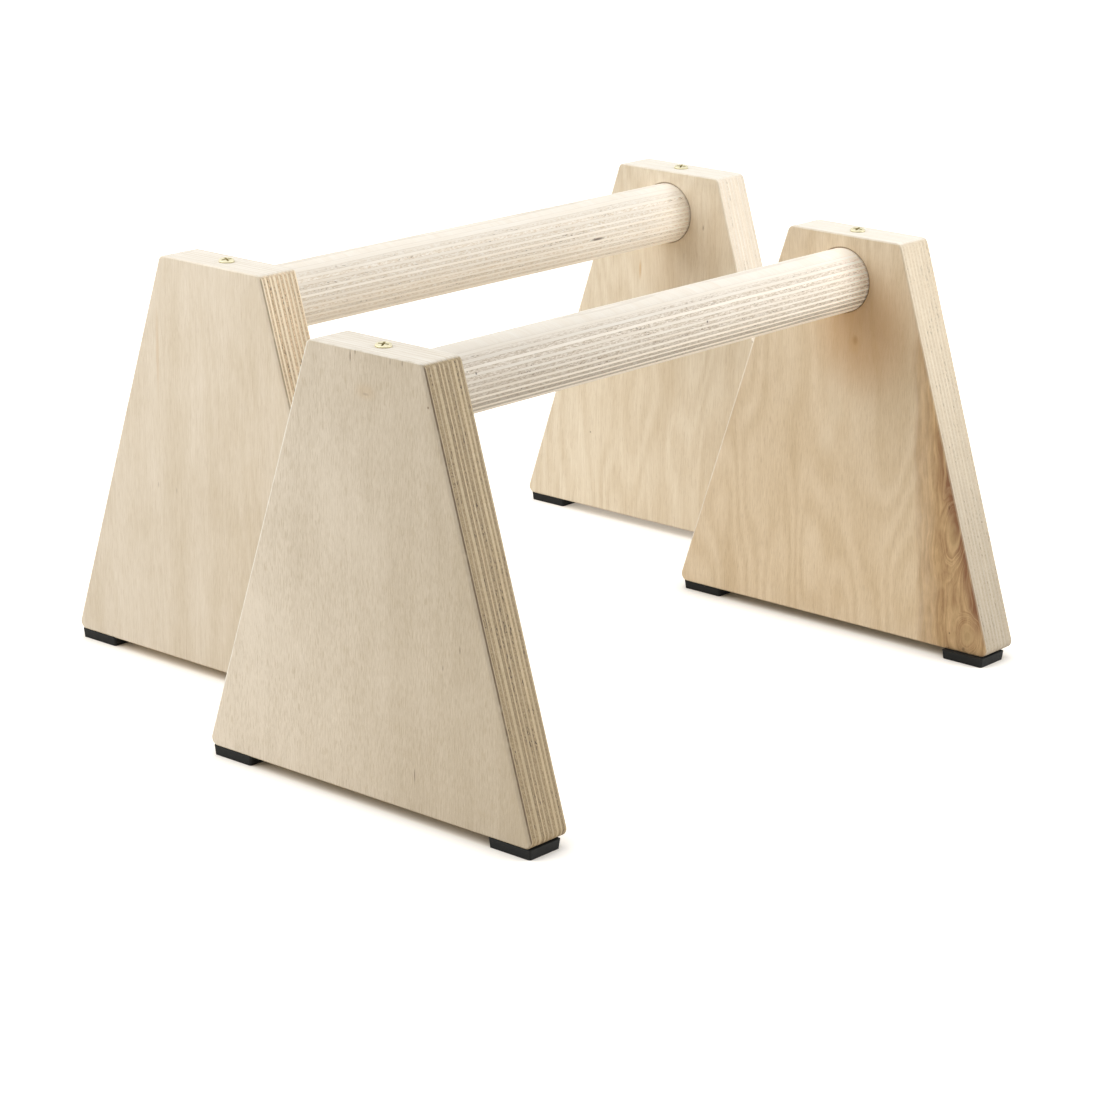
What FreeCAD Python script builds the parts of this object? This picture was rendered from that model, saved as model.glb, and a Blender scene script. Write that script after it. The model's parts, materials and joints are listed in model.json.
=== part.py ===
# A pair of wooden parallettes, the low bars that gymnasts train on. Each bar is a round laminated grip
# whose ends are housed in two tapered plywood plates. A screw from each plate's top edge holds the grip,
# and rubber pads carry the plates. Lengths are in millimetres and angles in degrees. The grips lie along X,
# the rear bar stands towards +Y, +Z is up, and the origin is on the floor, at the centre of the pair.
import FreeCAD, Part
import math
import os

# The pair as it stands
bar_spacing = 185.0             # from the front grip's axis to the rear one's
bar_stagger = 80.0              # by which the rear bar stands further along X
bar_length = 400.0              # over the outer faces of the plates

# End plates, cut from thick plywood
board_thickness = 25.5
plate_height = 217.0
plate_base_width = 212.0        # between the sharp corners of the outline
plate_top_width = 73.5
plate_corner_radius = 4.0       # of the outline's corners
plate_edge_chamfer = 0.6        # along both rims of the board

# Grips, and the blind sockets that house their ends
grip_diameter = 35.0
grip_cover = 7.5                # wood of the plate above the grip
grip_end_chamfer = 1.0
socket_web = 5.0                # wood between a socket's floor and the plate's outer face
socket_clearance = 0.1          # all round the grip
socket_end_gap = 0.3            # beyond the grip's end
socket_mouth_chamfer = 0.5

# Wood screws with a round head, which seats on the plate's top edge, and a cross recess
screw_length = 35.0             # under the head
screw_diameter = 4.0
screw_head_diameter = 8.0
screw_head_height = 2.2
screw_head_rim = 0.6            # height of the head's straight edge, under its dome
screw_tip_length = 6.0
screw_clearance = 0.05          # of the holes in the plate and the grip, all round the screw
recess_span = 6.4               # across two opposite wings of the cross, at the height of the dome's top
recess_slot = 1.3               # width of a wing there
recess_depth = 1.6
recess_floor_share = 0.35       # of the mouth's size, at the recess's floor
front_screw_turns = (43.0, 12.0)
rear_screw_turns = (65.0, 30.0)

# Rubber foot pads, stuck on by hand
foot_height = 5.0
foot_length = 26.0              # along the plate's base
foot_width = 22.0               # across the board
foot_draft = 0.5                # by which each side leans in at the tread
foot_corner_chamfer = 0.8
fore_foot_inset = 2.0           # from the outline's sharp corner
aft_foot_inset = 3.0
left_foot_setback = 0.0         # from the plate's outer face
right_fore_foot_setback = 6.5
right_aft_foot_setback = 2.5

# Construction
overrun = 1.0                   # by which cutting tools pass the faces that they open
sliver = 0.001                  # below this an extent counts as flat
full_turn = 360.0
quarter_turn = 90.0

# Places that follow from the sizes above
half_length = bar_length / 2
inner_face = half_length - board_thickness
plate_top = foot_height + plate_height
grip_radius = grip_diameter / 2
grip_axis = plate_top - grip_cover - grip_radius
socket_floor = half_length - socket_web
grip_half_length = socket_floor - socket_end_gap
screw_place = half_length - board_thickness / 2

origin = FreeCAD.Vector(0, 0, 0)
x_axis = FreeCAD.Vector(1, 0, 0)
z_axis = FreeCAD.Vector(0, 0, 1)


def edges_along(shape, extent):
    """The edges that run along one axis alone, named by the extent that isn't zero."""
    others = {"XLength", "YLength", "ZLength"} - {extent}
    return [e for e in shape.Edges if all(getattr(e.BoundBox, name) < sliver for name in others)]


def edges_in_plane(shape, extent):
    """The edges that lie square to an axis, named by the extent that is zero."""
    return [e for e in shape.Edges if getattr(e.BoundBox, extent) < sliver]


def tapered_block(lower, low, upper, high):
    """A block about Z, whose half sizes along X and Y change evenly from its low end to its high end."""
    start = (-lower[0], low, -lower[1], -upper[1], -upper[0])
    end = (lower[0], high, lower[1], upper[1], upper[0])
    block = Part.makeWedge(*start, *end)
    block.rotate(origin, x_axis, quarter_turn)
    return block


def plate_board():
    """The left plate before it is bored: a tapered outline with rounded corners and eased rims."""
    base = plate_base_width / 2
    top = plate_top_width / 2
    corners = [(-base, foot_height), (base, foot_height), (top, plate_top), (-top, plate_top)]
    corners.append(corners[0])
    outline = Part.makePolygon([FreeCAD.Vector(-half_length, y, z) for y, z in corners])
    board = Part.Face(outline).extrude(x_axis * board_thickness)
    board = board.makeFillet(plate_corner_radius, edges_along(board, "XLength"))
    return board.makeChamfer(plate_edge_chamfer, edges_in_plane(board, "XLength"))


def turned(profile, curves=()):
    """A form about Z, whose profile is a chain of places across and up, closed by any curves before it."""
    outline = Part.makePolygon([FreeCAD.Vector(across, 0, height) for across, height in profile])
    wire = Part.Wire([*curves, *outline.Edges])
    return Part.Face(wire).revolve(origin, z_axis, full_turn)


def shank(swell):
    """The profile of a screw below its head, down to the tip on the axis, larger by swell all round."""
    radius = screw_diameter / 2 + swell
    return [(radius, 0), (radius, screw_tip_length - screw_length), (0, -screw_length - swell)]


def screw_hole():
    """The hole for a screw, open upwards through the plate's top edge."""
    radius = screw_diameter / 2 + screw_clearance
    hole = turned([(0, overrun), (radius, overrun), *shank(screw_clearance), (0, overrun)])
    hole.translate(FreeCAD.Vector(-screw_place, 0, plate_top))
    return hole


def end_plate():
    """The left plate with its blind socket, which opens towards the grip, and its screw hole."""
    radius = grip_radius + socket_clearance
    depth = socket_floor - inner_face
    start = FreeCAD.Vector(-socket_floor, 0, grip_axis)
    socket = Part.makeCylinder(radius, depth + overrun, start, x_axis)
    lip = FreeCAD.Vector(-inner_face - socket_mouth_chamfer, 0, grip_axis)
    flare = socket_mouth_chamfer + overrun
    mouth = Part.makeCone(radius, radius + flare, flare, lip, x_axis)
    return plate_board().cut(socket).cut(mouth).cut(screw_hole())


def grip():
    """The round rod, with chamfered ends and a hole for the screw near each end."""
    start = FreeCAD.Vector(-grip_half_length, 0, grip_axis)
    rod = Part.makeCylinder(grip_radius, grip_half_length * 2, start, x_axis)
    rod = rod.makeChamfer(grip_end_chamfer, edges_in_plane(rod, "XLength"))
    hole = screw_hole()
    return rod.cut(hole).cut(hole.mirror(origin, x_axis))


def recess_wing():
    """One slot of the cross along X, which narrows from the head's face down to its floor."""
    mouth = (recess_span / 2, recess_slot / 2)
    floor = [size * recess_floor_share for size in mouth]
    return tapered_block(floor, screw_head_height - recess_depth, mouth, screw_head_height)


def cross_recess():
    """The tapered cross that is sunk in a screw's head."""
    wing = recess_wing()
    crossing = wing.copy()
    crossing.rotate(origin, z_axis, quarter_turn)
    return wing.fuse(crossing)


def dome():
    """The arc of a screw's head, from its top on the axis to its straight edge."""
    edge = screw_head_diameter / 2
    rise = screw_head_height - screw_head_rim
    radius = (edge ** 2 + rise ** 2) / (rise * 2)
    half_angle = math.asin(edge / radius) / 2
    drop = radius - radius * math.cos(half_angle)
    top = FreeCAD.Vector(0, 0, screw_head_height)
    middle = FreeCAD.Vector(radius * math.sin(half_angle), 0, screw_head_height - drop)
    return Part.Arc(top, middle, FreeCAD.Vector(edge, 0, screw_head_rim)).toShape()


def screw(place, turn):
    """A screw driven down at a place along the bar, its cross left at an angle."""
    edge = screw_head_diameter / 2
    below_dome = [(edge, screw_head_rim), (edge, 0), *shank(0), (0, screw_head_height)]
    driven = turned(below_dome, [dome()]).cut(cross_recess())
    driven.rotate(origin, z_axis, turn)
    driven.translate(FreeCAD.Vector(place, 0, plate_top))
    return driven


def foot(place):
    """A moulded pad that narrows to its tread, with cut corners, at a place on the floor."""
    top = (foot_width / 2, foot_length / 2)
    tread = [size - foot_draft for size in top]
    pad = tapered_block(tread, 0, top, foot_height)
    uprights = [e for e in pad.Edges if e.BoundBox.ZLength > sliver]
    pad = pad.makeChamfer(foot_corner_chamfer, uprights)
    pad.translate(place)
    return pad


def feet():
    """The four pads under one bar, by name: two to a plate, near the ends of its base."""
    left = foot_width / 2 + left_foot_setback - half_length
    right = half_length - foot_width / 2
    fore = fore_foot_inset + foot_length / 2 - plate_base_width / 2
    aft = plate_base_width / 2 - aft_foot_inset - foot_length / 2
    return {
        "left_fore_foot": foot(FreeCAD.Vector(left, fore, 0)),
        "left_aft_foot": foot(FreeCAD.Vector(left, aft, 0)),
        "right_fore_foot": foot(FreeCAD.Vector(right - right_fore_foot_setback, fore, 0)),
        "right_aft_foot": foot(FreeCAD.Vector(right - right_aft_foot_setback, aft, 0)),
    }


def bar(screw_turns):
    """One bar's pieces by name, with the bar centred over the origin."""
    left_turn, right_turn = screw_turns
    left_plate = end_plate()
    pieces = {
        "left_plate": left_plate,
        "right_plate": left_plate.mirror(origin, x_axis),
        "grip": grip(),
        "left_screw": screw(-screw_place, left_turn),
        "right_screw": screw(screw_place, right_turn),
    }
    pieces.update(feet())
    return pieces


def write_bar(name, screw_turns, place):
    """Writes one bar's pieces, with the bar set at its place in the pair."""
    for piece, shape in bar(screw_turns).items():
        shape.translate(place)
        shape.exportStep(f"parts/{name}_{piece}.step")


os.makedirs("parts", exist_ok=True)
rear_place = FreeCAD.Vector(bar_stagger / 2, bar_spacing / 2, 0)
write_bar("front", front_screw_turns, -rear_place)
write_bar("rear", rear_screw_turns, rear_place)
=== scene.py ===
"""The looks of a pair of wooden parallettes: plywood plates, laminated grips, screws and rubber pads."""
import json
import math

import bmesh
import bpy
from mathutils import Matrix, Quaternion, Vector

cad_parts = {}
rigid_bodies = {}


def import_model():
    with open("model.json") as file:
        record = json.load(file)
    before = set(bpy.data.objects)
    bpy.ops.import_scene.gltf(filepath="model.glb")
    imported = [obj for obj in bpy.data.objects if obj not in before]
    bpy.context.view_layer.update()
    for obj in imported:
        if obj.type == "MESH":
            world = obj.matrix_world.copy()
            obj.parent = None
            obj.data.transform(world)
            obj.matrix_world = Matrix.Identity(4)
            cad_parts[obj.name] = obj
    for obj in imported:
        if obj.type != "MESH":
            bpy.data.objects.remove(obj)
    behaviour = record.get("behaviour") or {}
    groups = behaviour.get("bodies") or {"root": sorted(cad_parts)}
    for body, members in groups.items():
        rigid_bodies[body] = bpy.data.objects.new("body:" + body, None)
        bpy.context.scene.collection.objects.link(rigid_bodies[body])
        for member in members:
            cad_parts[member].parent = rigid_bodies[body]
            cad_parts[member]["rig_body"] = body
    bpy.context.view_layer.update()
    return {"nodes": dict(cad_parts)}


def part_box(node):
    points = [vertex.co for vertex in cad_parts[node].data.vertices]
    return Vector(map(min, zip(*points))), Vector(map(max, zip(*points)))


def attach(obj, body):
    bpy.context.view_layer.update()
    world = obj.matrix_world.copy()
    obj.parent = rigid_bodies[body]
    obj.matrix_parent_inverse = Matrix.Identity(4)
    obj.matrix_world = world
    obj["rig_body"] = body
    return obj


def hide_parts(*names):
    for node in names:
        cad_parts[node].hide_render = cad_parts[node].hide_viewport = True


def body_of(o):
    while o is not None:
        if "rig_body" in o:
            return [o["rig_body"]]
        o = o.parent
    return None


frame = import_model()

nodes = frame["nodes"]
MM = 0.001

# Plywood and laminate, counted in pairs of crossed plies
PLATE_PAIRS = 8.5
PLATE_LINE_SHARE = 0.46         # of a pair, for the ply whose grain runs with the outer veneers
GRIP_PAIR = 2.9 * MM
PAINTED_LIGHT_END = (0.33, 0.45)       # shares of a grip's length from its middle, between which painted light makes it lighter
OUTER_PLY_SHARE = 0.2           # of a pair, by which the faces stay within their own ply
GLUE_SHARE = 0.035              # of a pair, on each side of a glue line
EDGE_SOFTNESS = 0.7 * MM
PAINTED_SHADE_WIDTH = 0.75 * MM            # width of the painted shade along a plate's fore edge, which faces away from the lamps
PAINTED_SHADE_BAND = 3.5 * MM           # width of the fainter painted shade beside it
PAINTED_HIGHLIGHT_WIDTH = 1.2 * MM             # width of the painted highlight along the other edges

# Screws: the head's profile as shares of its radius and heights over the plate, and the cross sunk in it
SCREW_STEPS = 64
SHARP_ANGLE = math.radians(40)
HEAD_PROFILE = [
    (1.0, 0.0), (1.0, 0.3), (0.97, 0.48), (0.9, 0.6), (0.7, 0.7), (0.4, 0.77), (0.2, 0.8), (0.0, 0.8),
]
HEAD_FOOT = 0.1 * MM                    # of the head, which stays on the plate where the rest leans
SHANK_RADIUS = 2.0 * MM
TIP_LENGTH = 6.0 * MM
HEAD_LEAN = math.radians(8)             # by which the screws were driven askew
HEAD_AWAY = Vector((0.72, 0.69, 0))     # towards the side of the head that stands higher
CROSS_MOUTH = (2.8 * MM, 0.55 * MM)     # half a wing's length and width
CROSS_FLOOR = (1.2 * MM, 0.3 * MM)
CROSS_DEPTH = 0.9 * MM
CUT_OVERRUN = 0.02 * MM                 # by which the cutters pass the head's top
SCREW_TURNS = {
    "front_left_screw": 28.0, "front_right_screw": 12.0, "rear_left_screw": 65.0, "rear_right_screw": 30.0,
}

# Camera, from the photograph's perspective
CAMERA_PLACE = Vector((-1.31921, -1.11771, 0.57911))
CAMERA_AIM = Vector((-0.11332, -0.09836, 0.10032))
CAMERA_ROLL = math.radians(0.9196)
CAMERA_LENS = 109.327           # millimetres, on a square sensor of the size below
CAMERA_SENSOR = 36.0

# Light levels, where 1 shows a surface that faces the lamp at the pair's centre in its own colour
LIT_POINT = Vector((0.0, 0.0, 0.1))
AMBIENT_LEVEL = 0.30
LAMPS = {                       # place, size and level
    "lamp_above": ((0.1, 0.3, 1.7), 1.6, 0.28),
    "lamp_left": ((-0.95, 0.85, 1.1), 1.7, 0.86),
    "lamp_front": ((0.7, -1.05, 0.62), 0.8, 0.60),
}

# Floor
FLOOR_SIZE = 12.0
FLOOR_DROP = 0.02 * MM          # below the pads, so that no two faces share a plane
FLOOR_GLOW = 0.70               # seen by the camera alone, so that the floor is white round the shadows
CONTACT_REACH = 18 * MM         # within which the pair keeps that glow off the floor
CONTACT_POWER = 1.5
NEAR_FLOOR = 0.30               # from the pair's centre, where the glow starts to rise to full white
FAR_FLOOR = 0.90
BEHIND = (0.7, 0.7, 0.0)        # away from the camera, where painted light makes the shadows fainter
BEHIND_START = 0.10
BEHIND_END = 0.20
PAINTED_LIGHT_BEHIND = 0.4
BEHIND_COOL = 0.7
OPEN_WHITE = 0.6                # share of open sky over the floor, from which its glow is white; below it the glow is a painted warm reflection of the wood


def colour(red, green, blue):
    """A colour written in display values from 0 to 255, as a shader takes it."""
    def linear(value):
        share = value / 255
        return share / 12.92 if share <= 0.04045 else ((share + 0.055) / 1.055) ** 2.4
    return (linear(red), linear(green), linear(blue), 1.0)


class Graph:
    """A shader's nodes. Each call adds one and returns its output, and takes sockets or plain values."""

    def __init__(self, tree):
        self.tree = tree
        self.tree.nodes.clear()

    def add(self, kind, inputs=None, **settings):
        node = self.tree.nodes.new(kind)
        for key, value in settings.items():
            setattr(node, key, value)
        for key, value in (inputs or {}).items():
            if isinstance(value, bpy.types.NodeSocket):
                self.tree.links.new(value, node.inputs[key])
            else:
                node.inputs[key].default_value = value
        return node

    def math(self, operation, *values):
        return self.add("ShaderNodeMath", dict(enumerate(values)), operation=operation).outputs[0]

    def minus(self, first, second):
        return self.math("SUBTRACT", first, second)

    def over(self, first, second):
        return self.math("DIVIDE", first, second)

    def chain(self, operation, first, others):
        total = first
        for value in others:
            total = self.math(operation, total, value)
        return total

    def sum(self, first, *others):
        return self.chain("ADD", first, others)

    def times(self, first, *others):
        return self.chain("MULTIPLY", first, others)

    def most(self, first, *others):
        return self.chain("MAXIMUM", first, others)

    def least(self, first, *others):
        return self.chain("MINIMUM", first, others)

    def step(self, value, low, high):
        """A smooth rise from 0 where value is low to 1 where it is high, or a fall if low is the larger."""
        limits = {"Value": value, "From Min": low, "From Max": high}
        return self.add("ShaderNodeMapRange", limits, interpolation_type="SMOOTHSTEP").outputs[0]

    def blend(self, share, first, second):
        """A number between two others."""
        return self.add("ShaderNodeMix", {0: share, 2: first, 3: second}, data_type="FLOAT").outputs[0]

    def mix(self, share, first, second):
        """A colour between two others."""
        return self.add("ShaderNodeMix", {0: share, 6: first, 7: second}, data_type="RGBA").outputs[2]

    def shade(self, base, factor):
        """A colour made darker or lighter by a number."""
        scale = self.join(factor, factor, factor)
        inputs = {0: 1.0, 6: base, 7: scale}
        return self.add("ShaderNodeMix", inputs, data_type="RGBA", blend_type="MULTIPLY").outputs[2]

    def split(self, vector):
        return self.add("ShaderNodeSeparateXYZ", {0: vector}).outputs

    def join(self, x, y, z):
        return self.add("ShaderNodeCombineXYZ", {0: x, 1: y, 2: z}).outputs[0]

    def scaled(self, vector, *sizes):
        """A vector divided by the size of a pattern along each axis."""
        inputs = {0: vector, 1: [1 / size for size in sizes]}
        return self.add("ShaderNodeVectorMath", inputs, operation="MULTIPLY").outputs[0]

    def along(self, vector, direction):
        """How far a vector reaches in a direction."""
        inputs = {0: vector, 1: direction}
        return self.add("ShaderNodeVectorMath", inputs, operation="DOT_PRODUCT").outputs["Value"]

    def noise(self, vector, detail=2.0, roughness=0.5):
        inputs = {"Vector": vector, "Scale": 1.0, "Detail": detail, "Roughness": roughness}
        return self.add("ShaderNodeTexNoise", inputs).outputs["Fac"]

    def swing(self, pattern, strength):
        """A pattern about its middle, as a number to add."""
        return self.times(self.sum(pattern, -0.5), strength)

    def scatter(self, number):
        """A random share for each whole number."""
        return self.add("ShaderNodeTexWhiteNoise", {"W": number}, noise_dimensions="1D").outputs["Value"]

    def place(self):
        """The point on the piece, in the frame's own coordinates at rest."""
        return self.add("ShaderNodeTexCoord").outputs["Object"]

    def facing(self):
        """The surface's direction, in the piece's own coordinates."""
        normal = self.add("ShaderNodeNewGeometry").outputs["True Normal"]
        turn = {"vector_type": "NORMAL", "convert_from": "WORLD", "convert_to": "OBJECT"}
        return self.add("ShaderNodeVectorTransform", {0: normal}, **turn).outputs[0]

    def relief(self, height, depth, softness=EDGE_SOFTNESS):
        """A normal with the height's bumps, depth deep, and with softened edges."""
        edges = self.add("ShaderNodeBevel", {"Radius": softness}, samples=4).outputs[0]
        inputs = {"Height": height, "Distance": depth, "Strength": 1.0, "Normal": edges}
        return self.add("ShaderNodeBump", inputs).outputs[0]

    def seen_directly(self):
        """1 for rays from the camera, and for those by way of gloss or glass, and 0 for the rest."""
        path = self.add("ShaderNodeLightPath").outputs
        rays = self.sum(path["Is Camera Ray"], path["Is Glossy Ray"], path["Is Transmission Ray"])
        return self.least(rays, 1.0)

    def finish(self, **inputs):
        """Ends in a principled surface, whose inputs are named with underscores for spaces."""
        named = {key.replace("_", " "): value for key, value in inputs.items()}
        surface = self.add("ShaderNodeBsdfPrincipled", named).outputs[0]
        self.add("ShaderNodeOutputMaterial", {"Surface": surface})


def new_material(name):
    """An empty material, and the graph of its nodes."""
    material = bpy.data.materials.new(name)
    material.use_nodes = True
    return material, Graph(material.node_tree)


class Plies:
    """The crossed plies of a board at each point: which one, its grain, and how far it is end grain."""

    def __init__(self, graph, pairs, line_share, seed, grain, squares):
        """pairs counts pairs of plies from the board's first face. grain is the point's place along the
        two directions of grain, and squares are those of the surface's direction along them."""
        share = graph.math("FRACT", pairs)
        self.crossed = graph.math("GREATER_THAN", share, line_share)
        self.index = graph.sum(graph.times(graph.math("FLOOR", pairs), 2.0), self.crossed)
        self.chance = graph.scatter(graph.sum(self.index, seed))
        self.end = graph.blend(self.crossed, *squares)
        self.layer = graph.sum(graph.times(self.index, 3.7), seed)
        self.across = graph.blend(self.crossed, grain[1], grain[0])
        self.along = graph.blend(self.crossed, grain[0], grain[1])
        to_line = graph.math("ABSOLUTE", graph.minus(share, line_share))
        to_pair = graph.math("PINGPONG", pairs, 0.5)
        self.glue = graph.step(graph.least(to_line, to_pair), GLUE_SHARE, GLUE_SHARE / 2)

    def point(self, graph, sway=0.0):
        """Where the point lies in its ply: across and along the grain, which may sway."""
        straight = graph.join(self.layer, self.across, self.along)
        if not sway:
            return straight
        drift = graph.noise(graph.scaled(straight, 1.0, 45 * MM, 120 * MM), 1.0)
        return graph.join(self.layer, graph.sum(self.across, graph.swing(drift, sway)), self.along)


def reach(graph, place, centre, half_size):
    """How far a place lies from the centre of an oval, where 1 is on its outline."""
    parts = [graph.over(graph.minus(place[i], centre[i]), half_size[i]) for i in range(2)]
    return graph.math("SQRT", graph.sum(*[graph.times(part, part) for part in parts]))


def marked(graph, surface, place, marks, share, tones):
    """A surface with marks, each a tone's name, a centre, a half size in millimetres and a strength."""
    for tone, centre, half_size, strength in marks:
        at = [value * MM for value in centre]
        size = [value * MM for value in half_size]
        spot = graph.step(reach(graph, place, at, size), 1.0, 0.2)
        surface = graph.mix(graph.times(spot, strength, share), surface, tones[tone])
    return surface


def heartwood(graph, surface, place, inset, share, look):
    """A surface with a strip of darker wood at a plate's fore edge, whose grain goes round two knots."""
    across, up = place
    flat = graph.join(across, up, 0.0)
    start = graph.sum(graph.times(up, look["lean"]), look["start"] * MM)
    waver = graph.noise(graph.scaled(flat, 13 * MM, 32 * MM, 1.0), 2.0)
    inside = graph.sum(graph.minus(start, across), graph.swing(waver, 10 * MM))
    contour = graph.over(inside, look["line_spacing"] * MM)
    eyes = 0.0
    for centre, half_size in look["knots"]:
        away = reach(graph, place, [v * MM for v in centre], [v * MM for v in half_size])
        away = graph.sum(away, graph.swing(waver, 1.5))
        contour = graph.blend(graph.step(away, 2.4, 0.8), contour, graph.times(away, look["knot_rings"]))
        eyes = graph.most(eyes, graph.step(away, 1.0, 0.1))
    figure = graph.noise(graph.join(contour, graph.over(up, 40 * MM), 0.0), 2.0, 0.6)
    curl = graph.noise(graph.scaled(flat, 6 * MM, 14 * MM, 1.0), 3.0, 0.6)
    fibre = graph.noise(graph.scaled(flat, 0.6 * MM, 7 * MM, 1.0), 2.0, 0.7)
    outline = graph.step(graph.math("ABSOLUTE", graph.sum(inside, -1.0 * MM)), 2.0 * MM, 0.4 * MM)
    tone = graph.sum(0.45, graph.swing(figure, 1.6), graph.swing(curl, 1.3), graph.swing(fibre, 0.7))
    tone = graph.sum(tone, graph.times(outline, 0.3))
    wood = graph.mix(tone, look["pale"], look["deep"])
    wood = graph.mix(graph.times(eyes, 0.5), wood, look["eye"])
    stretch = graph.times(graph.step(up, 8 * MM, 30 * MM), graph.step(up, 135 * MM, 95 * MM))
    rust = graph.times(graph.step(graph.sum(inset, graph.swing(curl, 12 * MM)), 8 * MM, 1 * MM), stretch)
    wood = graph.mix(graph.times(rust, graph.step(figure, 0.2, 0.55), 0.95), wood, look["rust"])
    border = graph.times(graph.step(inside, -3.0 * MM, 4.0 * MM), 0.6)
    core = graph.times(graph.step(inside, 4.0 * MM, 14.0 * MM), 0.35)
    return graph.mix(graph.times(graph.sum(border, core), share), surface, wood)


def plywood(name, look):
    """A plate's plywood: plies through its thickness, with upright grain on both faces."""
    material, graph = new_material(name)
    place = graph.place()
    x, y, z = graph.split(place)
    facing = graph.split(graph.facing())
    upright = graph.times(facing[2], facing[2])
    sideways = graph.times(facing[1], facing[1])
    face = graph.step(graph.math("ABSOLUTE", facing[0]), 0.55, 0.8)
    seen_face = graph.step(facing[0], -0.55, -0.8)
    top = graph.step(facing[2], 0.7, 0.96)
    on_face = (graph.minus(y, look["middle"]), z)

    # Plies of uneven thickness, a little wavy along the board
    depth = graph.times(graph.minus(x, look["outer"]), look["inward"])
    wander = graph.noise(graph.scaled(place, 60 * MM, 25 * MM, 25 * MM), 1.0)
    uneven = graph.noise(graph.join(graph.over(depth, 3.6 * MM), look["seed"], 0.0), 1.0)
    pairs = graph.over(depth, look["thickness"] / PLATE_PAIRS)
    pairs = graph.sum(pairs, graph.swing(wander, 0.2), graph.swing(uneven, 0.8))
    pairs = graph.least(graph.most(pairs, OUTER_PLY_SHARE), PLATE_PAIRS - OUTER_PLY_SHARE)
    plies = Plies(graph, pairs, PLATE_LINE_SHARE, look["seed"], (z, y), (upright, sideways))

    # Long grain: fibres, strands, bands and clouds of a peeled veneer, and short dashes where it is sanded
    point = plies.point(graph, look["sway"] * MM)
    fibre = graph.noise(graph.scaled(point, 1.0, 0.45 * MM, look["fibre_length"] * MM), 3.0, 0.75)
    patterns = {
        "fibre": fibre,
        "strands": graph.noise(graph.scaled(point, 1.0, 1.5 * MM, 50 * MM), 2.0, 0.6),
        "bands": graph.noise(graph.scaled(point, 1.0, 18 * MM, 300 * MM), 2.0),
        "clouds": graph.noise(graph.scaled(place, 1.0, 38 * MM, 60 * MM), 2.0),
    }
    # Painted light: paler towards the aft edge and darker towards the fore edge, by the look's drift, which
    # also reaches the edges' long grain
    tone = graph.sum(0.5, graph.times(on_face[0], -look["drift"] / look["width"]))
    for key, pattern in patterns.items():
        tone = graph.sum(tone, graph.swing(pattern, look[key]))
    specks = graph.noise(graph.scaled(point, 1.0, 0.45 * MM, 6 * MM), 1.0)
    dashes = graph.times(graph.step(specks, 0.58, 0.64), graph.step(patterns["clouds"], 0.1, 0.5))
    rings = graph.noise(graph.scaled(point, 1.0, 40 * MM, 150 * MM), 1.0)
    lines = graph.math("SINE", graph.times(rings, look["ring_turns"]))
    tone = graph.sum(tone, graph.times(lines, look["rings"]))
    veneer = graph.mix(tone, look["pale"], look["deep"])
    veneer = graph.mix(graph.times(dashes, look["dashes"]), veneer, look["dash_tone"])
    # Painted light from the floor: the face lighter towards its foot; a negative strength makes it darker
    # there
    foot_share = graph.step(z, look["height"], 0.0)
    veneer = graph.shade(veneer, graph.sum(1.0, graph.swing(foot_share, look["face_lift"])))

    # Edges: long grain and end grain by turns, the end grain rough and full of pores
    rough = graph.noise(graph.scaled(place, 0.7 * MM, 0.7 * MM, 0.9 * MM), 3.0, 0.75)
    grooves = graph.noise(graph.scaled(place, 0.5 * MM, 16 * MM, 16 * MM), 2.0)
    long_grain = graph.mix(tone, look["edge_pale"], look["edge_deep"])
    end_grain = graph.mix(graph.step(rough, 0.3, 0.7), look["end_pale"], look["end_deep"])
    edge = graph.mix(graph.step(plies.end, 0.15, 0.75), long_grain, end_grain)
    edge = graph.mix(graph.times(plies.glue, look["glue"]), edge, look["glue_tone"])
    changes = [
        graph.swing(plies.chance, look["ply_spread"]),
        graph.swing(grooves, look["grooves"]),
        graph.times(foot_share, -look["edge_fall"]),
    ]
    edge = graph.shade(edge, graph.sum(1.0, *changes))
    cluster = graph.noise(graph.scaled(place, 3 * MM, 20 * MM, 20 * MM), 1.0)
    stretched = graph.noise(graph.scaled(place, 0.6 * MM, 0.9 * MM, 2.0 * MM), 1.0)
    pits = graph.times(graph.step(stretched, 0.57, 0.65), graph.step(cluster, 0.50, 0.60))
    pits = graph.times(pits, graph.step(plies.end, 0.3, 0.8))
    edge = graph.mix(graph.times(pits, look["pits"]), edge, look["pit_tone"])

    # The top edge, paler than the same plies on the sides: partly sanded, partly painted light from above,
    # with faint streaks along it
    streaks = graph.noise(graph.scaled(place, 0.9 * MM, 22 * MM, 1.0), 3.0, 0.6)
    layers = [
        graph.times(plies.chance, 0.3),
        graph.times(plies.crossed, 0.3),
        graph.times(plies.glue, 0.5),
    ]
    crown_tone = graph.sum(*layers, graph.swing(streaks, 1.2))
    crown = graph.mix(crown_tone, look["top_pale"], look["top_deep"])
    edge = graph.mix(top, edge, crown)
    surface = graph.mix(face, edge, veneer)
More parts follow.
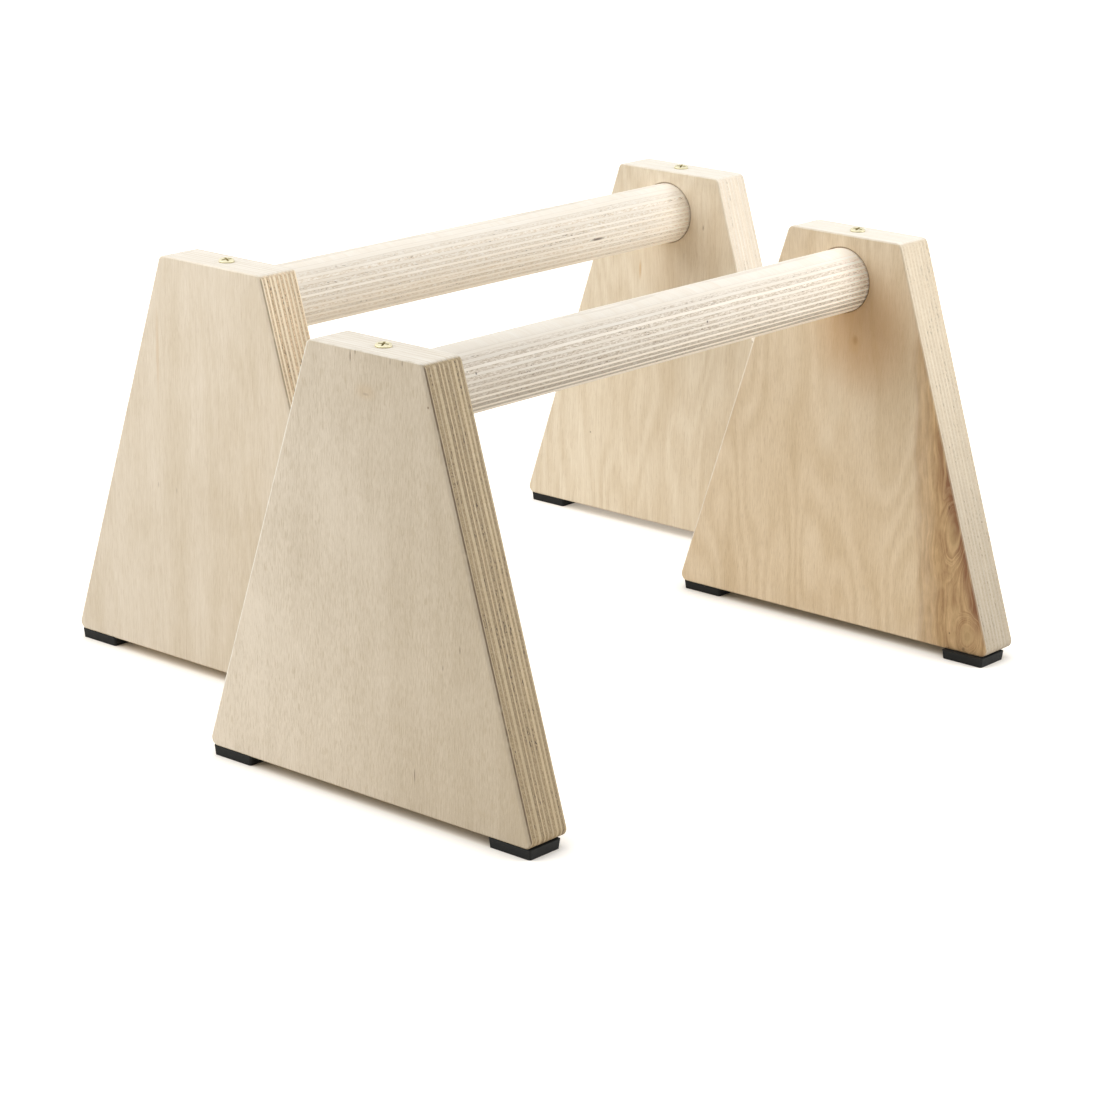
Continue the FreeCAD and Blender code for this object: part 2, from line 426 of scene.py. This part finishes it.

    # Marks on the face, painted shade round the grip's socket, and painted light on the rims: painted shade
    # along the fore edge, which faces away from the lamps, and a painted highlight along the other edges
    insets = {}
    for side in ("fore", "aft", "top"):
        direction, distance = look[side + "_side"]
        insets[side] = graph.minus(distance, graph.along(place, direction))
    if "heartwood" in look:
        surface = heartwood(graph, surface, on_face, insets["fore"], seen_face, look["heartwood"])
    surface = marked(graph, surface, on_face, look["marks"], seen_face, look["mark_tones"])
    # Painted shade in the gap round the grip's socket on the inner face
    radius = reach(graph, on_face, (0.0, look["socket_height"]), (1.0, 1.0))
    inside = graph.step(depth, look["thickness"] * 0.85, look["thickness"] * 0.95)
    socket_shade_ring = graph.step(radius, look["socket_radius"] + 1.1 * MM, look["socket_radius"] + 0.4 * MM)
    surface = graph.mix(graph.times(socket_shade_ring, inside, 0.65), surface, look["mark_tones"]["dark"])
    patchy = graph.noise(graph.scaled(place, 1.0, 7 * MM, 7 * MM), 3.0, 0.6)
    patchy = graph.sum(0.45, graph.times(graph.step(patchy, 0.25, 0.5), 0.55))
    rim_share = graph.times(graph.step(facing[0], -0.5, -0.65), patchy)
    # Painted shade along the fore edge and painted highlight along the aft and top edges, on the faces
    rims = [
        ("fore", PAINTED_SHADE_BAND, look["painted_shade_rim"] * 0.3, look["painted_shade_tone"]),
        ("fore", PAINTED_SHADE_WIDTH, look["painted_shade_rim"], look["painted_shade_tone"]),
        ("aft", PAINTED_HIGHLIGHT_WIDTH, look["painted_highlight_rim"], look["painted_highlight_tone"]),
        ("top", PAINTED_HIGHLIGHT_WIDTH * 0.7, look["painted_highlight_rim"] * 0.6, look["painted_highlight_tone"]),
    ]
    for side, width, strength, tint in rims:
        rim = graph.times(graph.step(insets[side], width, width / 2), rim_share, strength)
        surface = graph.mix(rim, surface, tint)

    off_face = graph.minus(1.0, face)
    height = graph.sum(
        graph.times(fibre, look["fibre_depth"]),
        graph.times(dashes, -0.5 * look["fibre_depth"]),
        graph.times(plies.end, rough, off_face, 0.8),
        graph.times(pits, off_face, -1.0),
    )
    normal = graph.relief(height, 0.12 * MM)
    roughness = graph.sum(0.5, graph.times(fibre, 0.25))
    graph.finish(Base_Color=surface, Roughness=roughness, Normal=normal)
    return material


def laminate(name, look):
    """A grip's laminated wood: flat layers, thin ones with grain along the grip between rougher ones."""
    material, graph = new_material(name)
    place = graph.place()
    x, y, z = graph.split(place)
    facing = graph.split(graph.facing())
    sideways = graph.times(facing[1], facing[1])
    lengthways = graph.times(facing[0], facing[0])
    wander = graph.noise(graph.scaled(place, 110 * MM, 30 * MM, 30 * MM), 1.0)
    uneven = graph.noise(graph.join(graph.over(z, 5 * MM), look["seed"], 0.0), 1.0)
    pairs = graph.over(graph.minus(z, look["base"]), GRIP_PAIR)
    pairs = graph.sum(pairs, graph.swing(wander, 0.35), graph.swing(uneven, 0.6))
    plies = Plies(graph, pairs, look["line_share"], look["seed"], (x, y), (lengthways, sideways))

    point = plies.point(graph)
    fibre = graph.noise(graph.scaled(point, 1.0, 0.8 * MM, 25 * MM), 3.0, 0.65)
    bands = graph.noise(graph.scaled(point, 1.0, 5 * MM, 120 * MM), 2.0)
    tone = graph.sum(0.5, graph.swing(fibre, look["fibre"]), graph.swing(bands, look["bands"]))
    long_grain = graph.mix(tone, look["pale"], look["deep"])

    # The rougher layers open into end grain towards the grip's sides
    rough = graph.noise(graph.scaled(place, 2.5 * MM, 0.45 * MM, 0.4 * MM), 3.0, 0.75)
    end_grain = graph.mix(graph.step(rough, 0.3, 0.7), look["end_pale"], look["end_deep"])
    # Painted shade: the end grain darker towards the grip's underside, by the look's fall
    painted_underside_shade = graph.step(graph.over(graph.minus(z, look["base"]), look["depth"]), 0.65, 0.15)
    end_grain = graph.shade(end_grain, graph.minus(1.0, graph.times(painted_underside_shade, look["fall"])))
    open_share = graph.step(plies.end, 0.1, 0.65)
    surface = graph.mix(open_share, long_grain, end_grain)
    # Painted light along the grip: lighter towards its right end and darker towards its left, lighter still
    # close to the right end
    along = graph.over(graph.minus(x, look["middle"]), look["length"])
    changes = [
        graph.times(along, look["drift"]),
        graph.times(graph.step(along, *PAINTED_LIGHT_END), look["end_lift"]),
        graph.swing(plies.chance, look["ply_spread"]),
    ]
    surface = graph.shade(surface, graph.sum(1.0, *changes))
    cluster = graph.noise(graph.scaled(place, 30 * MM, 6 * MM, 3 * MM), 1.0)
    specks = graph.noise(graph.scaled(place, 2.2 * MM, 0.6 * MM, 0.5 * MM), 1.0)
    pits = graph.times(graph.step(specks, 0.60, 0.70), graph.step(cluster, 0.5, 0.65), open_share)
    surface = graph.mix(graph.times(pits, look["pits"]), surface, look["pit_tone"])
    seams = graph.times(plies.glue, graph.sum(0.4, graph.times(open_share, 0.6)), look["glue"])
    surface = graph.mix(seams, surface, look["glue_tone"])
    near_side = graph.step(facing[1], 0.1, -0.2)
    on_side = (graph.minus(x, look["middle"]), z)
    surface = marked(graph, surface, on_side, look["marks"], near_side, look["mark_tones"])

    height = graph.sum(
        graph.times(fibre, 0.3),
        graph.times(plies.crossed, sideways, -1.8),
        graph.times(open_share, rough, 0.9),
        graph.times(pits, -1.0),
    )
    normal = graph.relief(height, 0.14 * MM)
    roughness = graph.sum(0.5, graph.times(fibre, 0.25))
    graph.finish(Base_Color=surface, Roughness=roughness, Normal=normal)
    return material


def rubber(name):
    """Black moulded rubber, faintly mottled."""
    material, graph = new_material(name)
    place = graph.place()
    mottle = graph.noise(graph.scaled(place, 3 * MM, 3 * MM, 3 * MM), 3.0)
    speckle = graph.noise(graph.scaled(place, 0.35 * MM, 0.35 * MM, 0.35 * MM), 2.0)
    surface = graph.mix(mottle, colour(12, 13, 12), colour(26, 27, 26))
    normal = graph.relief(speckle, 0.05 * MM, 0.4 * MM)
    roughness = graph.sum(0.5, graph.times(mottle, 0.25))
    graph.finish(Base_Color=surface, Roughness=roughness, Normal=normal, Specular_IOR_Level=0.25)
    return material


def yellow_zinc(name, seat):
    """Yellow-passivated zinc plate on a screw, with painted shade round the foot of its head."""
    material, graph = new_material(name)
    place = graph.place()
    film = graph.noise(graph.scaled(place, 2.5 * MM, 2.5 * MM, 2.5 * MM), 2.0)
    grit = graph.noise(graph.scaled(place, 0.25 * MM, 0.25 * MM, 0.25 * MM), 2.0)
    # Painted shade round the foot of the head
    painted_head_shade = graph.step(graph.split(place)[2], seat + 0.7 * MM, seat + 0.2 * MM)
    surface = graph.mix(film, colour(235, 229, 203), colour(208, 198, 156))
    surface = graph.mix(graph.times(painted_head_shade, 0.8), surface, colour(150, 138, 88))
    normal = graph.relief(grit, 0.02 * MM, 0.3 * MM)
    roughness = graph.sum(0.35, graph.times(grit, 0.25))
    graph.finish(Base_Color=surface, Metallic=0.5, Roughness=roughness, Normal=normal)
    return material


def recess_zinc_painted_shade(name):
    """The plating inside a screw's cross, painted dark for the shade in the recess."""
    material, graph = new_material(name)
    place = graph.place()
    recess_mottle = graph.noise(graph.scaled(place, 0.6 * MM, 0.6 * MM, 0.6 * MM), 2.0)
    # Painted shade: a dark, dull colour for the recess
    surface = graph.mix(recess_mottle, colour(164, 148, 88), colour(122, 106, 56))
    normal = graph.relief(recess_mottle, 0.04 * MM, 0.2 * MM)
    roughness = graph.sum(0.5, graph.times(recess_mottle, 0.3))
    graph.finish(Base_Color=surface, Roughness=roughness, Normal=normal)
    return material


def new_object(name, shape):
    """An object of a bmesh, linked to the scene."""
    mesh = bpy.data.meshes.new(name)
    shape.to_mesh(mesh)
    shape.free()
    made = bpy.data.objects.new(name, mesh)
    bpy.context.scene.collection.objects.link(made)
    return made


def turned(name, profile, axis):
    """A form turned about an upright axis, from a chain of places across and up, from axis to axis."""
    shape = bmesh.new()
    chain = [shape.verts.new((axis.x + across, axis.y, up)) for across, up in profile]
    edges = [shape.edges.new(pair) for pair in zip(chain, chain[1:])]
    turn = {"cent": axis, "axis": (0, 0, 1), "angle": 2 * math.pi, "steps": SCREW_STEPS}
    bmesh.ops.spin(shape, geom=chain + edges, use_merge=True, **turn)
    bmesh.ops.remove_doubles(shape, verts=shape.verts, dist=MM / 1000)
    bmesh.ops.recalc_face_normals(shape, faces=shape.faces)
    return new_object(name, shape)


def wing(name, axis, top, angle):
    """One wing of a cross recess, as a tapered block that reaches from its floor up to the head's top."""
    shape = bmesh.new()
    along = Vector((math.cos(angle), math.sin(angle), 0))
    aside = Vector((-along.y, along.x, 0))
    rows = []
    for (length, width), up in ((CROSS_FLOOR, top - CROSS_DEPTH), (CROSS_MOUTH, top)):
        middle = Vector((axis.x, axis.y, up))
        corners = [(length, -width), (length, width), (-length, width), (-length, -width)]
        rows.append([shape.verts.new(middle + along * a + aside * b) for a, b in corners])
    floor_row, mouth_row = rows
    shape.faces.new(reversed(floor_row))
    shape.faces.new(mouth_row)
    for i in range(4):
        shape.faces.new((floor_row[i], floor_row[i - 3], mouth_row[i - 3], mouth_row[i]))
    for face in shape.faces:
        face.material_index = 1
    bmesh.ops.recalc_face_normals(shape, faces=shape.faces)
    return new_object(name, shape)


def lean(piece, axis, radius, above):
    """Raises the far side of a screw's head, or of a cutter for it, above a height."""
    for vertex in piece.data.vertices:
        if vertex.co.z > above:
            vertex.co.z += ((vertex.co - axis).dot(HEAD_AWAY) + radius) * math.tan(HEAD_LEAN)


def screw(node, painted_recess_shade):
    """A wood screw with a low, nearly flat head and a cross recess, which stands for its CAD node."""
    low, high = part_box(node)
    axis = (low + high) / 2
    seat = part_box(node.replace("screw", "plate"))[1].z
    radius = (high.x - low.x) / 2
    shank = [(0.0, low.z), (SHANK_RADIUS, low.z + TIP_LENGTH), (SHANK_RADIUS, seat)]
    head = [(share * radius, seat + up * MM) for share, up in HEAD_PROFILE]
    piece = turned(node + "_piece", shank + head, axis)
    lean(piece, axis, radius, seat + HEAD_FOOT)
    piece.data.materials.append(yellow_zinc(node, seat))
    piece.data.materials.append(painted_recess_shade)
    cutters = []
    for quarter in range(2):
        angle = math.radians(SCREW_TURNS[node] + 90 * quarter)
        cutters.append(wing(f"{node}_wing_{quarter}", axis, head[-1][1] + CUT_OVERRUN, angle))
        lean(cutters[-1], axis, radius, low.z)
        cut = piece.modifiers.new(f"wing_{quarter}", "BOOLEAN")
        cut.operation = "DIFFERENCE"
        cut.solver = "EXACT"
        cut.object = cutters[-1]
    bpy.context.view_layer.update()
    cut_mesh = bpy.data.meshes.new_from_object(piece.evaluated_get(bpy.context.evaluated_depsgraph_get()))
    piece.modifiers.clear()
    piece.data = cut_mesh
    for cutter in cutters:
        bpy.data.objects.remove(cutter)
    for polygon in cut_mesh.polygons:
        polygon.use_smooth = True
    cut_mesh.set_sharp_from_angle(angle=SHARP_ANGLE)
    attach(piece, body_of(nodes[node])[0])
    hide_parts(node)


def dress(node, material):
    """Gives a CAD node its finish."""
    for slot in nodes[node].material_slots:
        slot.material = material


def side_of(node, direction):
    """The plane of a plate's widest side that faces a direction: its direction, and how far out it lies."""
    polygons = nodes[node].data.polygons
    side = max((p for p in polygons if p.normal.dot(direction) > 0.9), key=lambda p: p.area)
    return side.normal.copy(), side.normal.dot(side.center)


def plate_looks():
    """What differs from plate to plate: partly the wood, partly painted light and shade, above all on the
    edges.
    """
    common = {
        "glue_tone": colour(128, 100, 70), "glue": 0.35,
        "pit_tone": colour(74, 58, 42), "dash_tone": colour(168, 140, 102),
        "mark_tones": {
            "dark": colour(112, 82, 50), "amber": colour(206, 172, 122), "pale": colour(250, 238, 216),
            "painted_shadow": colour(200, 160, 112),
        },
        "painted_shade_tone": colour(106, 85, 66), "painted_highlight_tone": colour(255, 250, 240),
        "ring_turns": 60.0, "fibre_length": 9.0,
        "painted_shade_rim": 0.0, "painted_highlight_rim": 0.6, "edge_fall": 0.0, "face_lift": 0.0, "grooves": 0.25,
    }
    front_left = {
        "seed": 3.1, "sway": 4.0,
        "pale": colour(235, 223, 204), "deep": colour(198, 183, 158),
        "fibre": 1.35, "strands": 0.3, "bands": 0.4, "clouds": 0.6, "dashes": 0.32, "rings": 0.03,
        "dash_tone": colour(184, 163, 122), "fibre_length": 4.5,
        "drift": 0.95, "fibre_depth": 0.9, "face_lift": 0.07,
        "edge_pale": colour(213, 197, 164), "edge_deep": colour(190, 171, 137),
        "end_pale": colour(182, 161, 126), "end_deep": colour(134, 113, 80), "glue": 0.55,
        "top_pale": colour(240, 234, 223), "top_deep": colour(214, 201, 180),
        "ply_spread": 0.22, "grooves": 0.4, "pits": 0.9, "painted_shade_rim": 0.75, "painted_highlight_rim": 0.95,
        "marks": [
            ("dark", (9.0, 218.3), (0.5, 4.4), 0.9), ("dark", (5.9, 220.8), (0.5, 1.8), 0.7),
            ("dark", (-16.1, 219.7), (0.5, 2.4), 0.5), ("dark", (-23.6, 220.1), (0.7, 2.0), 0.5),
            ("amber", (-0.4, 202.9), (9.0, 5.5), 0.2), ("dark", (-0.8, 201.8), (2.6, 0.9), 0.3),
            ("dark", (-39.6, 202.3), (0.8, 0.9), 0.8), ("dark", (-60.0, 91.6), (0.6, 2.8), 0.6),
            ("dark", (-49.6, 80.5), (0.6, 1.9), 0.5), ("dark", (-32.2, 23.4), (0.6, 4.6), 0.6),
        ],
    }
    rear_left = {
        "seed": 11.7, "sway": 6.0,
        "pale": colour(237, 226, 209), "deep": colour(209, 193, 166),
        "fibre": 1.1, "strands": 0.35, "bands": 0.6, "clouds": 0.5, "dashes": 0.12, "rings": 0.05,
        "painted_shade_tone": colour(132, 110, 74),
        "drift": 0.3, "fibre_depth": 0.6, "face_lift": -0.05,
        "edge_pale": colour(254, 242, 218), "edge_deep": colour(240, 222, 192),
        "end_pale": colour(240, 216, 182), "end_deep": colour(180, 152, 114),
        "top_pale": colour(243, 236, 224), "top_deep": colour(220, 208, 188),
        "ply_spread": 0.16, "pits": 0.8, "painted_shade_rim": 0.5,
        "marks": [
            ("amber", (39.2, 171.0), (1.6, 30.0), 0.3),
            ("dark", (26.4, 97.9), (0.5, 2.3), 0.35), ("dark", (40.2, 98.5), (0.5, 2.3), 0.35),
        ],
    }
    front_right = {
        "seed": 23.9, "sway": 10.0,
        "pale": colour(241, 224, 197), "deep": colour(211, 188, 152),
        "fibre": 1.35, "strands": 0.4, "bands": 0.4, "clouds": 0.6, "dashes": 0.16, "rings": 0.14,
        "drift": 0.1, "fibre_depth": 0.6, "face_lift": 0.2,
        "edge_pale": colour(234, 222, 200), "edge_deep": colour(221, 205, 179),
        "end_pale": colour(231, 216, 192), "end_deep": colour(208, 189, 159),
        "top_pale": colour(251, 245, 233), "top_deep": colour(239, 228, 208),
        "ply_spread": 0.05, "grooves": 0.14, "glue": 0.15, "pits": 0.45, "edge_fall": 0.34,
        "marks": [
            ("pale", (1.3, 132.5), (9.0, 28.0), 0.25), ("pale", (6.8, 105.9), (8.0, 13.0), 0.25),
            ("dark", (-76.4, 84.0), (0.8, 1.7), 0.8), ("dark", (-80.6, 14.1), (0.7, 0.9), 0.8),
            ("dark", (-90.1, 7.1), (1.4, 1.6), 0.7), ("dark", (-10.5, 165.3), (2.4, 3.8), 1.0),
            # The widest mark is the grip's shadow on the plate, painted
            ("amber", (-10.0, 163.0), (5.0, 8.0), 0.4), ("painted_shadow", (-16.0, 172.0), (45.0, 50.0), 0.65),
        ],
        "heartwood": {
            "start": -62.5, "lean": 0.081, "line_spacing": 2.2, "knot_rings": 1.6,
            "knots": [((-80.0, 70.0), (4.5, 13.5)), ((-92.8, 14.6), (4.5, 6.5))],
            "pale": colour(216, 184, 136), "deep": colour(148, 106, 62), "eye": colour(172, 144, 98),
            "rust": colour(124, 74, 38),
        },
    }
    rear_right = {
        "seed": 37.3, "sway": 14.0,
        "pale": colour(240, 228, 206), "deep": colour(215, 197, 168),
        "fibre": 1.2, "strands": 0.7, "bands": 0.5, "clouds": 0.5, "dashes": 0.15, "rings": 0.14,
        "drift": 0.1, "fibre_depth": 0.5, "face_lift": 0.06,
        "edge_pale": colour(252, 243, 229), "edge_deep": colour(240, 227, 206),
        "end_pale": colour(247, 235, 217), "end_deep": colour(234, 219, 196),
        "top_pale": colour(251, 245, 233), "top_deep": colour(240, 230, 211),
        "ply_spread": 0.06, "grooves": 0.14, "glue": 0.15, "pits": 0.25, "edge_fall": 0.2,
        "marks": [
            ("dark", (-27.7, 191.7), (0.8, 2.3), 0.5), ("amber", (19.0, 160.0), (1.2, 8.0), 0.7),
            ("dark", (-66.4, 129.6), (0.9, 1.4), 0.5), ("dark", (55.2, 52.6), (0.8, 0.9), 0.6),
            # The widest mark is the grip's shadow on the plate, painted
            ("painted_shadow", (-16.0, 172.0), (45.0, 50.0), 0.15),
        ],
    }
    looks = {
        "front_left_plate": front_left,
        "rear_left_plate": rear_left,
        "front_right_plate": front_right,
        "rear_right_plate": rear_right,
    }
    return {node: placed(node, {**common, **look}) for node, look in looks.items()}


def placed(node, look):
    """A plate's look with the places that its patterns start from."""
    low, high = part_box(node)
    is_left = "left" in node
    look["outer"] = low.x if is_left else high.x
    look["inward"] = 1.0 if is_left else -1.0
    look["thickness"] = high.x - low.x
    look["width"] = high.y - low.y
    look["height"] = high.z
    look["middle"] = (low.y + high.y) / 2
    grip_low, grip_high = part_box(node.split("_")[0] + "_grip")
    look["socket_height"] = (grip_low.z + grip_high.z) / 2
    look["socket_radius"] = (grip_high.z - grip_low.z) / 2
    look["fore_side"] = side_of(node, Vector((0, -1, 0)))
    look["aft_side"] = side_of(node, Vector((0, 1, 0)))
    look["top_side"] = side_of(node, Vector((0, 0, 1)))
    return look


def grip_looks():
    """The two grips, turned from the same laminate; the rear grip's paler end grain is painted light."""
    common = {
        "pale": colour(253, 248, 238), "deep": colour(240, 228, 210),
        "pit_tone": colour(116, 94, 70), "glue_tone": colour(160, 136, 108),
        "mark_tones": {"dark": colour(70, 52, 36)},
        "glue": 0.4, "ply_spread": 0.12, "fibre": 0.9, "bands": 0.8, "end_lift": 0.12,
    }
    front = {
        "seed": 51.3, "line_share": 0.42, "pits": 0.85, "fall": 0.36,
        "end_pale": colour(250, 242, 230), "end_deep": colour(188, 169, 144), "drift": 0.3,
        "marks": [
            ("dark", (33.9, 199.9), (1.0, 0.9), 0.9), ("dark", (128.0, 185.6), (29.0, 0.6), 0.6),
            ("dark", (-141.0, 203.8), (0.9, 0.9), 0.8), ("dark", (-108.5, 190.7), (0.9, 0.7), 0.6),
        ],
    }
    rear = {
        "seed": 67.9, "line_share": 0.46, "pits": 0.8, "fall": 0.07,
        "end_pale": colour(254, 249, 240), "end_deep": colour(213, 195, 168), "drift": 0.06,
        "marks": [("dark", (89.6, 196.0), (7.8, 1.0), 0.85)],
    }
    looks = {"front_grip": front, "rear_grip": rear}
    for node, look in looks.items():
        low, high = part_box(node)
        look.update(common)
        look["base"] = low.z
        look["length"] = high.x - low.x
        look["depth"] = high.z - low.z
        look["middle"] = (low.x + high.x) / 2
    return looks


def dress_pair():
    """Every CAD node's finish."""
    for node, look in plate_looks().items():
        dress(node, plywood(node, look))
    for node, look in grip_looks().items():
        dress(node, laminate(node, look))
    pad = rubber("pad_rubber")
    painted_recess_shade = recess_zinc_painted_shade("screw_cross_painted_shade")
    for node in nodes:
        if node.endswith("_foot"):
            dress(node, pad)
        if node.endswith("_screw"):
            screw(node, painted_recess_shade)


def floor():
    """A white floor that keeps the shadows where the pair stands on it."""
    half = FLOOR_SIZE / 2
    mesh = bpy.data.meshes.new("floor")
    corners = [(-half, -half, 0), (half, -half, 0), (half, half, 0), (-half, half, 0)]
    mesh.from_pydata(corners, [], [(0, 1, 2, 3)])
    sheet = bpy.data.objects.new("floor", mesh)
    sheet.location.z = -FLOOR_DROP
    bpy.context.scene.collection.objects.link(sheet)
    material, graph = new_material("floor")
    paper = graph.add("ShaderNodeBsdfDiffuse", {"Color": colour(228, 222, 212)}).outputs[0]
    distance = graph.add("ShaderNodeVectorMath", {0: graph.place()}, operation="LENGTH").outputs["Value"]
    occlusion = graph.add("ShaderNodeAmbientOcclusion", {"Distance": CONTACT_REACH}, samples=16)
    open_share = occlusion.outputs["AO"]
    behind = graph.step(graph.along(graph.place(), BEHIND), BEHIND_START, BEHIND_END)
    contact = graph.math("POWER", open_share, CONTACT_POWER)
    # Painted light: behind the pair more glow reaches into the shadows
    contact = graph.blend(graph.times(behind, PAINTED_LIGHT_BEHIND), contact, 1.0)
    near = graph.times(contact, FLOOR_GLOW)
    strength = graph.blend(graph.step(distance, NEAR_FLOOR, FAR_FLOOR), near, 1.0)
    strength = graph.times(strength, graph.seen_directly())
    cool = graph.most(graph.step(open_share, 0.0, OPEN_WHITE), graph.times(behind, BEHIND_COOL))
    # A painted reflection: the glow warm where the floor is hidden from the sky, white behind the pair
    tint = graph.mix(cool, colour(255, 218, 158), colour(255, 255, 255))
    glow = graph.add("ShaderNodeEmission", {"Color": tint, "Strength": strength}).outputs[0]
    both = graph.add("ShaderNodeAddShader", {0: paper, 1: glow}).outputs[0]
    graph.add("ShaderNodeOutputMaterial", {"Surface": both})
    mesh.materials.append(material)


def lamp(name, place, size, level):
    """A square softbox that points at the pair."""
    light = bpy.data.lights.new(name, "AREA")
    light.shape = "SQUARE"
    light.size = size
    towards = LIT_POINT - Vector(place)
    light.energy = level * (math.pi * towards.length) ** 2
    holder = bpy.data.objects.new(name, light)
    holder.location = place
    holder.rotation_mode = "QUATERNION"
    holder.rotation_quaternion = towards.to_track_quat("-Z", "Y")
    bpy.context.scene.collection.objects.link(holder)


def world():
    """Even light from all round, and plain white where it is seen directly."""
    sky = bpy.data.worlds.new("studio")
    sky.use_nodes = True
    graph = Graph(sky.node_tree)
    strength = graph.blend(graph.seen_directly(), AMBIENT_LEVEL, 1.0)
    background = graph.add("ShaderNodeBackground", {"Color": (1, 1, 1, 1), "Strength": strength}).outputs[0]
    graph.add("ShaderNodeOutputWorld", {"Surface": background})
    bpy.context.scene.world = sky


def camera():
    """The photograph's viewpoint."""
    eye = bpy.data.cameras.new("camera")
    eye.sensor_width = CAMERA_SENSOR
    eye.lens = CAMERA_LENS
    holder = bpy.data.objects.new("camera", eye)
    holder.location = CAMERA_PLACE
    holder.rotation_mode = "QUATERNION"
    level = (CAMERA_AIM - CAMERA_PLACE).to_track_quat("-Z", "Y")
    holder.rotation_quaternion = level @ Quaternion((0, 0, 1), CAMERA_ROLL)
    bpy.context.scene.collection.objects.link(holder)
    bpy.context.scene.camera = holder


dress_pair()
floor()
world()
for lamp_name, values in LAMPS.items():
    lamp(lamp_name, *values)
camera()
bpy.context.scene.view_settings.view_transform = "Standard"
